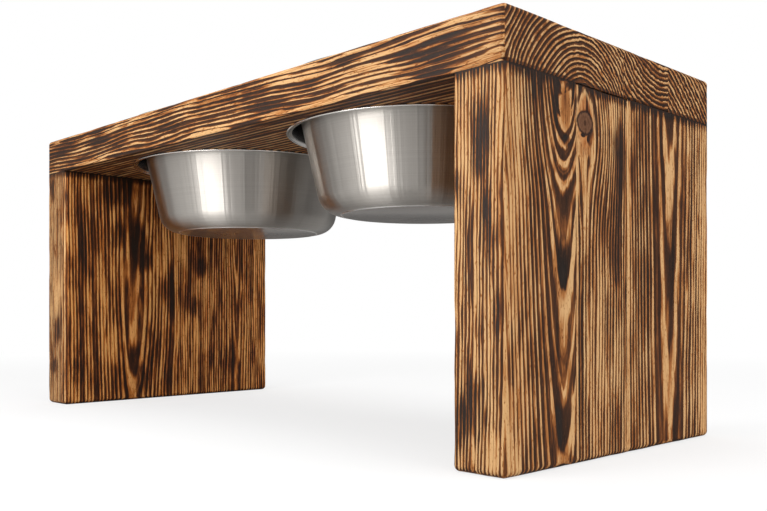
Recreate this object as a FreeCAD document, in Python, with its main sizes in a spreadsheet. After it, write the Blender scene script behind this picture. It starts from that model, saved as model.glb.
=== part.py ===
"""Elevated dog bowl stand: a bench of three edge-glued pine boards that carries two drop-in steel bowls.

Frame: millimetres, +X along the bench, +Y to the back, +Z up, origin on the floor under the bench's middle.
Every piece takes its sizes from the sheet below; what fits another piece is worked out from the same cells.
"""

import FreeCAD, Part

import math
import os
from enum import IntEnum, auto

import Sketcher

# Driving sizes in millimetres: alias, value, what it measures
SIZES = [
    ("stand_height", 280, "floor to the upper face of the top board"),
    ("top_thickness", 35, "thickness of the top board"),
    ("side_thickness", 41, "thickness of each side board"),
    ("edge_round", 4, "round-over on the outer edges of the boards"),
    ("joint_round", 1.6, "smaller round-over where the top and a side meet"),
    ("top_front_stave", 133, "width of the front stave of the top board"),
    ("top_middle_stave", 63, "width of the middle stave of the top board"),
    ("side_front_stave", 74, "width of the front stave of a side board"),
    ("side_middle_stave", 63, "width of the middle stave of a side board"),
    ("bowl_gap", 7.5, "space between the rims of the two bowls"),
    ("rim_to_edge", 11, "bowl rim to the front and back edges of the top"),
    ("rim_to_side", 22.75, "bowl rim to the inner face of a side board"),
    ("mouth_diameter", 218, "outside of the bowl wall at the upper face of the top"),
    ("rim_width", 11, "how far the bowl rim stands out past the mouth"),
    ("bowl_height", 107, "base of the bowl to the top of its rim"),
    ("wall_lean", 23, "how far the bowl wall leans in from the mouth to the base"),
    ("bowl_wall", 0.8, "sheet thickness of the bowl"),
    ("bowl_corner", 19, "outside radius between the bowl's wall and its base"),
    ("bowl_shoulder", 3.5, "outside radius between the bowl's wall and its rim"),
    ("rim_bead", 2.2, "radius of the rolled bead round the bowl rim"),
    ("bowl_seat_gap", 0.3, "clearance between the bead and the board it rests on"),
    ("bowl_clearance", 1.5, "radial play of the bowl in the lined hole"),
    ("hole_edge_round", 1.5, "round-over on the upper edge of each hole"),
    ("liner_wall", 0.8, "sheet thickness of the hole liner"),
    ("liner_setback", 3, "upper edge of the liner below the face of the top"),
    ("liner_lip", 4, "width of the liner's lip under the top board"),
    ("liner_bead", 0.9, "radius of the rolled bead round the lip"),
    ("dowel_diameter", 12, "glued beech dowels between the top and the sides"),
    ("dowel_in_top", 22, "length of dowel in the top board"),
    ("dowel_in_side", 30, "length of dowel in a side board"),
    ("dowel_edge", 38, "outermost dowels to the front and back edges"),
    ("dowel_chamfer", 1, "chamfer on the ends of a dowel"),
    ("dowel_end_gap", 1, "glue room past each end of a dowel"),
    ("fit_gap", 0.1, "radial glue gap round dowels and liners"),
    ("cut_overrun", 5, "how far a cutting tool runs past the board"),
]
DOWELS_PER_SIDE = 4

# Sizes that follow from the sheet, as expressions
BOWL_RIM_RADIUS = "(Sizes.mouth_diameter / 2 + Sizes.rim_width)"
BOWL_OFFSET = f"({BOWL_RIM_RADIUS} + Sizes.bowl_gap / 2)"
STAND_DEPTH = f"(2 * {BOWL_RIM_RADIUS} + 2 * Sizes.rim_to_edge)"
STAND_LENGTH = f"(2 * ({BOWL_OFFSET} + {BOWL_RIM_RADIUS} + Sizes.rim_to_side + Sizes.side_thickness))"
SIDE_HEIGHT = "(Sizes.stand_height - Sizes.top_thickness)"
SIDE_OFFSET = f"({STAND_LENGTH} / 2 - Sizes.side_thickness / 2)"
LINER_INNER = "(Sizes.mouth_diameter / 2 + Sizes.bowl_clearance)"
LINER_OUTER = f"({LINER_INNER} + Sizes.liner_wall)"
HOLE_RADIUS = f"({LINER_OUTER} + Sizes.fit_gap)"
DOWEL_HOLE_RADIUS = "(Sizes.dowel_diameter / 2 + Sizes.fit_gap)"
DOWEL_STEP = f"(({STAND_DEPTH} - 2 * Sizes.dowel_edge) / {DOWELS_PER_SIDE - 1})"

# The two sides by their sign along X
SIDE_NAMES = {-1: "left", 1: "right"}
LEFT, RIGHT = SIDE_NAMES

FULL_TURN = 360
SAME_HEIGHT = 1e-6
OUT_FOLDER = "parts"


class At(IntEnum):
    """How a sketch numbers the points of its edges."""

    START = auto()
    END = auto()
    CENTRE = auto()


class Axis(IntEnum):
    """How a sketch numbers its own axes."""

    H = -1
    V = -2


ORIGIN = (Axis.H, At.START)

doc = FreeCAD.newDocument("elevated_bowl_stand")
sheet = doc.addObject("Spreadsheet::Sheet", "Sizes")
sub_parts = []


# The sheet of driving sizes

def fill_sheet():
    """Writes the driving sizes as plain numbers with aliases."""
    for row, (alias, value, meaning) in enumerate(SIZES, start=1):
        sheet.set(f"A{row}", str(value))
        sheet.setAlias(f"A{row}", alias)
        sheet.set(f"B{row}", meaning)
    doc.recompute()


def value(expression):
    """The present value of an expression on the sheet."""
    return float(sheet.evalExpression(expression))


def bind(thing, **expressions):
    """Binds properties to expressions; a double underscore in a key stands for a dot."""
    for key, expression in expressions.items():
        thing.setExpression(key.replace("__", "."), expression)


def keep(thing, label):
    """Names a finished sub-part, which is then written out under that name."""
    thing.Label = label
    sub_parts.append(thing)


# Helpers for bodies and sketches

def new_sketch(body, name, role="XY_Plane", height=None):
    """A sketch on one of the body's own origin planes, lifted to a height where one is given."""
    plane = next(feature for feature in body.Origin.OriginFeatures if feature.Role == role)
    sketch = body.newObject("Sketcher::SketchObject", name)
    sketch.AttachmentSupport = [(plane, "")]
    sketch.MapMode = "FlatFace"
    if height is not None:
        bind(sketch, AttachmentOffset__Base__z=height)
    return sketch


def fix(sketch, kind, *where):
    """Adds a constraint that has no dimension."""
    sketch.addConstraint(Sketcher.Constraint(kind, *where))


def dimension(sketch, name, expression, kind, *where):
    """Adds a named dimension to a sketch and binds it to an expression."""
    index = sketch.addConstraint(Sketcher.Constraint(kind, *where, value(expression)))
    sketch.renameConstraint(index, name)
    sketch.setExpression(f"Constraints.{name}", expression)


def line(start, end):
    """A straight edge of a sketch between two points."""
    return Part.LineSegment(FreeCAD.Vector(*start, 0), FreeCAD.Vector(*end, 0))


def circle(centre, radius):
    """A full circle in a sketch."""
    return Part.Circle(FreeCAD.Vector(*centre, 0), FreeCAD.Vector(0, 0, 1), radius)


def arc(centre, radius, start, end):
    """A circular arc in a sketch, anticlockwise between two angles in radians."""
    return Part.ArcOfCircle(circle(centre, radius), start, end)


def centred_rectangle(sketch, length, width):
    """A rectangle about the sketch's origin, with its sides bound to two expressions."""
    across, along = value(length) / 2, value(width) / 2
    corners = [(-across, -along), (across, -along), (across, along), (-across, along)]
    lines = [sketch.addGeometry(line(a, b)) for a, b in zip(corners, corners[1:] + corners[:1])]
    front, right, back, left = lines
    for edge, following in zip(lines, lines[1:] + lines[:1]):
        fix(sketch, "Coincident", edge, At.END, following, At.START)
    for edge in (front, back):
        fix(sketch, "Horizontal", edge)
    for edge in (left, right):
        fix(sketch, "Vertical", edge)
    fix(sketch, "Symmetric", front, At.START, back, At.START, *ORIGIN)
    dimension(sketch, "length", length, "DistanceX", front, At.START, front, At.END)
    dimension(sketch, "width", width, "DistanceY", right, At.START, right, At.END)


def placed_circle(sketch, name, radius, across, along):
    """A circle whose radius and centre are bound to expressions."""
    ring = sketch.addGeometry(circle((value(across), value(along)), value(radius)))
    dimension(sketch, f"{name}_radius", radius, "Radius", ring)
    dimension(sketch, f"{name}_across", across, "DistanceX", *ORIGIN, ring, At.CENTRE)
    dimension(sketch, f"{name}_along", along, "DistanceY", *ORIGIN, ring, At.CENTRE)


def pad(body, sketch, name, height):
    """A pad from a sketch up to a height."""
    raised = body.newObject("PartDesign::Pad", name)
    raised.Profile = sketch
    bind(raised, Length=height)
    doc.recompute()
    return raised


def pocket(body, sketch, name, depth, upwards=False):
    """A pocket from a sketch, which has to take material away."""
    before = body.Shape.Volume
    cut = body.newObject("PartDesign::Pocket", name)
    cut.Profile = sketch
    cut.Reversed = upwards
    bind(cut, Length=depth)
    doc.recompute()
    if body.Shape.Volume >= before:
        raise RuntimeError(f"{name} cuts nothing")
    return cut


def edge_names(feature, test):
    """Names of a feature's edges that pass a test on the edge."""
    return [f"Edge{i}" for i, edge in enumerate(feature.Shape.Edges, start=1) if test(edge)]


def at_height(edge, height):
    """Whether an edge lies flat at a height of its body."""
    return max(abs(edge.BoundBox.ZMin - height), abs(edge.BoundBox.ZMax - height)) < SAME_HEIGHT


def round_edges(body, base, name, edges, radius):
    """A fillet on named edges of the body's last feature."""
    fillet = body.newObject("PartDesign::Fillet", name)
    fillet.Base = (base, edges)
    bind(fillet, Radius=radius)
    doc.recompute()
    return fillet


# Boards

def rounded_board(name, length, thickness, joint_at_top):
    """A board on its own XY plane: joint_round where it meets another board, edge_round elsewhere.

    length runs along X and thickness along Z; the width along Y is the depth of the bench.
    """
    body = doc.addObject("PartDesign::Body", name)
    outline = new_sketch(body, f"{name}_outline")
    centred_rectangle(outline, length, STAND_DEPTH)
    blank = pad(body, outline, f"{name}_blank", thickness)
    joint_height = value(thickness) if joint_at_top else 0
    outer = edge_names(blank, lambda edge: not at_height(edge, joint_height))
    eased = round_edges(body, blank, f"{name}_eased", outer, "Sizes.edge_round")
    joint = edge_names(eased, lambda edge: at_height(edge, joint_height))
    round_edges(body, eased, f"{name}_joint_eased", joint, "Sizes.joint_round")
    return body


def dowel_place(index):
    """Expression for the place of a dowel along the depth of the bench."""
    return f"({index} - {(DOWELS_PER_SIDE - 1) / 2}) * {DOWEL_STEP}"


def dowel_holes(body, name, columns, depth, height=None, upwards=False):
    """A row of blind dowel holes at each column, a place along X."""
    sketch = new_sketch(body, f"{name}_places", height=height)
    for column, across in enumerate(columns):
        for index in range(DOWELS_PER_SIDE):
            placed_circle(sketch, f"hole_{column}_{index}", DOWEL_HOLE_RADIUS, across, dowel_place(index))
    pocket(body, sketch, name, f"{depth} + Sizes.dowel_end_gap", upwards)


def make_top_board():
    """The top board with its two bowl holes and the blind holes for the dowels."""
    body = rounded_board("top_board", STAND_LENGTH, "Sizes.top_thickness", joint_at_top=False)
    bind(body, Placement__Base__z=SIDE_HEIGHT)
    places = new_sketch(body, "bowl_hole_places", height="Sizes.top_thickness + Sizes.cut_overrun")
    for side in (LEFT, RIGHT):
        placed_circle(places, f"{SIDE_NAMES[side]}_hole", HOLE_RADIUS, f"{side} * {BOWL_OFFSET}", "0")
    holes = pocket(body, places, "bowl_holes", "Sizes.top_thickness + 2 * Sizes.cut_overrun")
    upper_face, hole_width = value("Sizes.top_thickness"), value(HOLE_RADIUS)
    rims = edge_names(
        holes, lambda edge: at_height(edge, upper_face) and edge.Closed and edge.Length > hole_width
    )
    round_edges(body, holes, "bowl_holes_eased", rims, "Sizes.hole_edge_round")
    columns = [f"{side} * {SIDE_OFFSET}" for side in (LEFT, RIGHT)]
    dowel_holes(body, "top_dowel_holes", columns, "Sizes.dowel_in_top", upwards=True)
    return body


def make_side_board(side):
    """A side board with the blind holes for the dowels in its upper end."""
    name = f"{SIDE_NAMES[side]}_side"
    body = rounded_board(name, "Sizes.side_thickness", SIDE_HEIGHT, joint_at_top=True)
    bind(body, Placement__Base__x=f"{side} * {SIDE_OFFSET}")
    dowel_holes(body, f"{name}_dowel_holes", ["0"], "Sizes.dowel_in_side", height=SIDE_HEIGHT)
    return body


# Staves

def stave_spans(front, middle):
    """Start and width along Y of the front, middle and rear staves, run past the board's outer edges."""
    front_edge = f"(-{STAND_DEPTH} / 2)"
    overrun = "Sizes.cut_overrun"
    return {
        "front": (f"{front_edge} - {overrun}", f"{front} + {overrun}"),
        "middle": (f"{front_edge} + {front}", middle),
        "rear": (f"{front_edge} + {front} + {middle}", f"{STAND_DEPTH} - {front} - {middle} + {overrun}"),
    }


def cut_stave(board, label, along, across):
    """Takes one stave out of a finished board: along and across are starts and lengths on X and Y."""
    overrun = "Sizes.cut_overrun"
    slab = doc.addObject("Part::Box", f"{label}_slab")
    bind(slab, Length=along[1], Width=across[1], Height=f"Sizes.stand_height + 2 * {overrun}")
    bind(slab, Placement__Base__x=along[0], Placement__Base__y=across[0], Placement__Base__z=f"-{overrun}")
    stave = doc.addObject("Part::Common", label)
    stave.Base = board
    stave.Tool = slab
    keep(stave, f"{label}_stave")


def make_top_staves(board):
    """Splits the top board at its glue lines; the bowl holes part the middle stave into three."""
    overrun = "Sizes.cut_overrun"
    left_end = f"(-{STAND_LENGTH} / 2 - {overrun})"
    end_length = f"({STAND_LENGTH} / 2 + {overrun} - {BOWL_OFFSET})"
    whole = (left_end, f"{STAND_LENGTH} + 2 * {overrun}")
    spans = stave_spans("Sizes.top_front_stave", "Sizes.top_middle_stave")
    cut_stave(board, "top_front", whole, spans["front"])
    cut_stave(board, "top_middle_left", (left_end, end_length), spans["middle"])
    cut_stave(board, "top_middle_centre", (f"-{BOWL_OFFSET}", f"2 * {BOWL_OFFSET}"), spans["middle"])
    cut_stave(board, "top_middle_right", (BOWL_OFFSET, end_length), spans["middle"])
    cut_stave(board, "top_rear", whole, spans["rear"])


def make_side_staves(board, side):
    """Splits a side board at its glue lines."""
    overrun = "Sizes.cut_overrun"
    start = f"{side} * {SIDE_OFFSET} - Sizes.side_thickness / 2 - {overrun}"
    through = (start, f"Sizes.side_thickness + 2 * {overrun}")
    for place, across in stave_spans("Sizes.side_front_stave", "Sizes.side_middle_stave").items():
        cut_stave(board, f"{SIDE_NAMES[side]}_side_{place}", through, across)


# Dowels

def make_dowels(side):
    """A row of chamfered dowels that ties one side board to the top."""
    name = f"{SIDE_NAMES[side]}_dowels"
    row = []
    for index in range(DOWELS_PER_SIDE):
        dowel = doc.addObject("PartDesign::Body", f"{name}_{index}")
        section = new_sketch(dowel, f"{name}_{index}_section")
        placed_circle(section, "dowel", "Sizes.dowel_diameter / 2", "0", "0")
        pin = pad(dowel, section, f"{name}_{index}_pin", "Sizes.dowel_in_top + Sizes.dowel_in_side")
        ends = dowel.newObject("PartDesign::Chamfer", f"{name}_{index}_ends")
        ends.Base = (pin, edge_names(pin, lambda edge: edge.Closed))
        bind(ends, Size="Sizes.dowel_chamfer")
        bind(dowel, Placement__Base__x=f"{side} * {SIDE_OFFSET}", Placement__Base__y=dowel_place(index))
        bind(dowel, Placement__Base__z=f"{SIDE_HEIGHT} - Sizes.dowel_in_side")
        row.append(dowel)
    group = doc.addObject("Part::Compound", name)
    group.Links = row
    keep(group, name)


# Hole liners

def make_ring(name, inner, outer, height, base):
    """A plain ring about the Z axis with its sizes bound to expressions."""
    disc = doc.addObject("Part::Cylinder", f"{name}_disc")
    bind(disc, Radius=outer, Height=height)
    bore = doc.addObject("Part::Cylinder", f"{name}_bore")
    bind(bore, Radius=inner, Height=f"{height} + 2 * Sizes.cut_overrun")
    bind(bore, Placement__Base__z="-Sizes.cut_overrun")
    ring = doc.addObject("Part::Cut", name)
    ring.Base = disc
    ring.Tool = bore
    bind(ring, Placement__Base__z=base)
    return ring


def make_liner(side):
    """A pressed steel collar that lines a hole, with a beaded lip against the underside of the top."""
    name = f"{SIDE_NAMES[side]}_hole_liner"
    wall = "Sizes.liner_wall"
    collar_height = f"(Sizes.top_thickness - Sizes.liner_setback + {wall})"
    collar = make_ring(f"{name}_collar", LINER_INNER, LINER_OUTER, collar_height, f"-{wall}")
    bead_centre = f"({LINER_OUTER} + Sizes.liner_lip - Sizes.liner_bead)"
    lip = make_ring(f"{name}_lip", LINER_INNER, bead_centre, wall, f"-{wall}")
    bead = doc.addObject("Part::Torus", f"{name}_bead")
    bind(bead, Radius1=bead_centre, Radius2="Sizes.liner_bead")
    bind(bead, Placement__Base__z="-Sizes.liner_bead")
    liner = doc.addObject("Part::MultiFuse", name)
    liner.Shapes = [collar, lip, bead]
    liner.Refine = True
    bind(liner, Placement__Base__x=f"{side} * {BOWL_OFFSET}", Placement__Base__z=SIDE_HEIGHT)
    keep(liner, name)


# Bowls

def draw_bowl_section(sketch):
    """Draws half the section of a bowl, X its radius and Y its height above the face that it rests on.

    Returns the sketch's number of each edge by name, and the numbers of two points that set the wall's lean.
    """
    wall, corner = value("Sizes.bowl_wall"), value("Sizes.bowl_corner")
    shoulder, bead = value("Sizes.bowl_shoulder"), value("Sizes.rim_bead")
    mouth = value("Sizes.mouth_diameter") / 2
    base = mouth - value("Sizes.wall_lean")
    top = value("Sizes.bowl_seat_gap") + 2 * bead
    under = top - wall
    floor = top - value("Sizes.bowl_height")
    slope = math.hypot(mouth - base, floor)
    out, lift = -floor / slope, (base - mouth) / slope
    lean = math.atan2(lift, out)
    corner_centre = (base - corner * (1 + lift) / out, floor + corner)
    shoulder_height = under - shoulder
    shoulder_centre = (base + (shoulder - lift * (shoulder_height - floor)) / out, shoulder_height)
    bead_centre = (mouth + value("Sizes.rim_width") - bead, top - bead)
    rim_joint = math.pi - math.asin((bead - wall) / bead)
    under_end = (bead_centre[0] + bead * math.cos(rim_joint), under)
    down, up, inward = -math.pi / 2, math.pi / 2, lean + math.pi

    def off(centre, distance):
        """A point at a distance from a centre along the wall's outward normal."""
        return (centre[0] + distance * out, centre[1] + distance * lift)

    section = {
        "base_line": line((0, floor), (corner_centre[0], floor)),
        "corner_outer": arc(corner_centre, corner, down, lean),
        "wall_outer": line(off(corner_centre, corner), off(shoulder_centre, -shoulder)),
        "shoulder_outer": arc(shoulder_centre, shoulder, up, inward),
        "rim_under": line((shoulder_centre[0], under), under_end),
        "bead": arc(bead_centre, bead, rim_joint, up + 2 * math.pi),
        "rim_top": line((bead_centre[0], top), (shoulder_centre[0], top)),
        "shoulder_inner": arc(shoulder_centre, shoulder + wall, up, inward),
        "wall_inner": line(off(shoulder_centre, -shoulder - wall), off(corner_centre, corner - wall)),
        "corner_inner": arc(corner_centre, corner - wall, down, lean),
        "floor_line": line((corner_centre[0], floor + wall), (0, floor + wall)),
        "axis_line": line((0, floor + wall), (0, floor)),
    }
    edges = {name: sketch.addGeometry(edge) for name, edge in section.items()}
    base_point = sketch.addGeometry(Part.Point(FreeCAD.Vector(base, floor, 0)), True)
    mouth_point = sketch.addGeometry(Part.Point(FreeCAD.Vector(mouth, 0, 0)), True)
    return edges, base_point, mouth_point


def constrain_bowl_section(sketch, edges, base_point, mouth_point):
    """Ties the bowl's section together and binds its dimensions to the sheet."""
    tangents = [
        ("base_line", At.END, "corner_outer", At.START),
        ("corner_outer", At.END, "wall_outer", At.START),
        ("wall_outer", At.END, "shoulder_outer", At.END),
        ("shoulder_outer", At.START, "rim_under", At.START),
        ("bead", At.END, "rim_top", At.START),
        ("rim_top", At.END, "shoulder_inner", At.START),
        ("shoulder_inner", At.END, "wall_inner", At.START),
        ("wall_inner", At.END, "corner_inner", At.END),
        ("corner_inner", At.START, "floor_line", At.START),
    ]
    meetings = [
        ("rim_under", At.END, "bead", At.START),
        ("floor_line", At.END, "axis_line", At.START),
        ("axis_line", At.END, "base_line", At.START),
        ("corner_outer", At.CENTRE, "corner_inner", At.CENTRE),
        ("shoulder_outer", At.CENTRE, "shoulder_inner", At.CENTRE),
    ]
    for kind, pairs in (("Tangent", tangents), ("Coincident", meetings)):
        for first, first_end, second, second_end in pairs:
            fix(sketch, kind, edges[first], first_end, edges[second], second_end)
    for name in ("base_line", "rim_under", "rim_top", "floor_line"):
        fix(sketch, "Horizontal", edges[name])
    fix(sketch, "PointOnObject", edges["base_line"], At.START, Axis.V)
    fix(sketch, "PointOnObject", edges["floor_line"], At.END, Axis.V)
    fix(sketch, "PointOnObject", base_point, At.START, edges["wall_outer"])
    fix(sketch, "PointOnObject", base_point, At.START, edges["base_line"])
    fix(sketch, "PointOnObject", mouth_point, At.START, edges["wall_outer"])
    fix(sketch, "PointOnObject", mouth_point, At.START, Axis.H)

    base = (edges["base_line"], At.START)
    rim_top = (edges["rim_top"], At.START)
    bead = (edges["bead"], At.CENTRE)
    dimensions = [
        ("mouth", "Sizes.mouth_diameter / 2", "DistanceX", *ORIGIN, mouth_point, At.START),
        ("base", "Sizes.mouth_diameter / 2 - Sizes.wall_lean", "DistanceX", *ORIGIN, base_point, At.START),
        ("corner", "Sizes.bowl_corner", "Radius", edges["corner_outer"]),
        ("shoulder", "Sizes.bowl_shoulder", "Radius", edges["shoulder_outer"]),
        ("bead", "Sizes.rim_bead", "Radius", edges["bead"]),
        ("rim", f"{BOWL_RIM_RADIUS} - Sizes.rim_bead", "DistanceX", *ORIGIN, *bead),
        ("lift", "Sizes.bowl_seat_gap + Sizes.rim_bead", "DistanceY", *ORIGIN, *bead),
        ("height", "Sizes.bowl_height", "DistanceY", *base, *rim_top),
        ("floor", "Sizes.bowl_wall", "DistanceY", *base, edges["floor_line"], At.END),
        ("rim_sheet", "Sizes.bowl_wall", "DistanceY", edges["rim_under"], At.END, *rim_top),
    ]
    for name, expression, kind, *where in dimensions:
        dimension(sketch, name, expression, kind, *where)


def make_bowl(side):
    """A spun steel bowl with a beaded rim that hangs in its hole."""
    name = f"{SIDE_NAMES[side]}_bowl"
    body = doc.addObject("PartDesign::Body", name)
    section = new_sketch(body, f"{name}_section", "XZ_Plane")
    constrain_bowl_section(section, *draw_bowl_section(section))
    turned = body.newObject("PartDesign::Revolution", f"{name}_turned")
    turned.Profile = section
    turned.ReferenceAxis = (section, ["V_Axis"])
    turned.Angle = FULL_TURN
    bind(body, Placement__Base__x=f"{side} * {BOWL_OFFSET}", Placement__Base__z="Sizes.stand_height")
    keep(body, name)


# Building and writing out

def check_document():
    """Stops if any object failed, or a sub-part's shape is missing or not valid."""
    doc.recompute()
    for thing in doc.Objects:
        if {"Invalid", "Error"} & set(thing.State):
            raise RuntimeError(f"{thing.Label} failed: {thing.State}")
    for thing in sub_parts:
        if thing.Shape.isNull() or not thing.Shape.isValid() or not thing.Shape.Solids:
            raise RuntimeError(f"{thing.Label} has no valid solid")


def write_parts():
    """Writes each sub-part to its own file and prints its volume."""
    os.makedirs(OUT_FOLDER, exist_ok=True)
    for thing in sub_parts:
        thing.Shape.exportStep(os.path.join(OUT_FOLDER, f"{thing.Label}.step"))
        print(f"{thing.Label}: {len(thing.Shape.Solids)} solid(s), {thing.Shape.Volume:.0f} mm3")


fill_sheet()
make_top_staves(make_top_board())
for hand in (LEFT, RIGHT):
    make_side_staves(make_side_board(hand), hand)
    make_dowels(hand)
    make_liner(hand)
    make_bowl(hand)
check_document()
write_parts()
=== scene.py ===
"""Elevated feeding bench of torched pine with two lift-out steel bowls, dressed for a studio picture."""

import logging
import math
from dataclasses import dataclass, replace
from enum import Enum
from typing import Any, Callable, Iterable, Sequence, Union

import bmesh
import bpy
from mathutils import Matrix, Vector, noise


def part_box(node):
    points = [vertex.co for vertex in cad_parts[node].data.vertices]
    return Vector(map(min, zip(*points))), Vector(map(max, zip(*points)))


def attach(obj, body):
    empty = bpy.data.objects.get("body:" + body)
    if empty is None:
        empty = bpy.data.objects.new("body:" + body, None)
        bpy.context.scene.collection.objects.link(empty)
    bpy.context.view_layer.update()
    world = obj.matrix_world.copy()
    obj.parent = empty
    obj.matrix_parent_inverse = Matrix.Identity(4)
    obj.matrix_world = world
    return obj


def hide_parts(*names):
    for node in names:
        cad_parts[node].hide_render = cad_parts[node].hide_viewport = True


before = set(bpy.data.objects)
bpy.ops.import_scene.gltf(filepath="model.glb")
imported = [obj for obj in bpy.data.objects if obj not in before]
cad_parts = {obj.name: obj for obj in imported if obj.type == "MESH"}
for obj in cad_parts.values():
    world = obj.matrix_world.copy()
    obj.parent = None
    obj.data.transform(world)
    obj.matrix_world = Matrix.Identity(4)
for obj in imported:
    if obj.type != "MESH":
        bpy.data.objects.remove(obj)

log = logging.getLogger("feeding_bench")

MM = 0.001
FAR = 1.0e5
STAND = "stand"
NOISE_MEAN = 0.5
JOINED = 1.0e-6
UPRIGHT = (0.0, 0.0, 1.0)

# Where a grain begins and is full near the boards' front and back planes, in millimetres
FRONT_PLANE = (-129.0, -130.2)
BACK_PLANE = (129.0, 130.2)

Triple = tuple[float, float, float]
Pair = tuple[float, float]


def linear(red: float, green: float, blue: float) -> tuple[float, float, float, float]:
    """Turns a screen colour into the light values that a shader takes.

    Args:
        red, green, blue: The colour as it shows on a screen, from 0 to 255.

    Returns:
        The colour in linear light, with full opacity.
    """
    def open_up(level: float) -> float:
        """One channel out of the screen's curve."""
        share = level / 255.0
        return share / 12.92 if share <= 0.04045 else ((share + 0.055) / 1.055) ** 2.4

    return (open_up(red), open_up(green), open_up(blue), 1.0)


# Shader maths

class Value:
    """A number that varies over a surface, held as a socket of one material's nodes."""

    def __init__(self, nodes: "Nodes", socket: bpy.types.NodeSocket) -> None:
        """Keeps the socket and the nodes that it belongs to."""
        self.nodes = nodes
        self.socket = socket

    def __add__(self, other: "Number") -> "Value":
        """Adds a number or a value."""
        return self.nodes.maths("ADD", self, other)

    __radd__ = __add__

    def __sub__(self, other: "Number") -> "Value":
        """Takes a number or a value away."""
        return self.nodes.maths("SUBTRACT", self, other)

    def __rsub__(self, other: "Number") -> "Value":
        """Takes this value away from a number."""
        return self.nodes.maths("SUBTRACT", other, self)

    def __mul__(self, other: "Number") -> "Value":
        """Multiplies by a number or a value."""
        return self.nodes.maths("MULTIPLY", self, other)

    __rmul__ = __mul__

    def __truediv__(self, other: "Number") -> "Value":
        """Divides by a number or a value."""
        return self.nodes.maths("DIVIDE", self, other)

    def __rtruediv__(self, other: "Number") -> "Value":
        """Divides a number by this value."""
        return self.nodes.maths("DIVIDE", other, self)

    def __neg__(self) -> "Value":
        """Changes the sign."""
        return self.nodes.maths("MULTIPLY", self, -1.0)

    @property
    def swing(self) -> "Value":
        """How far a noise lies from its mean."""
        return self - NOISE_MEAN


Number = Union[Value, float]


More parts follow.
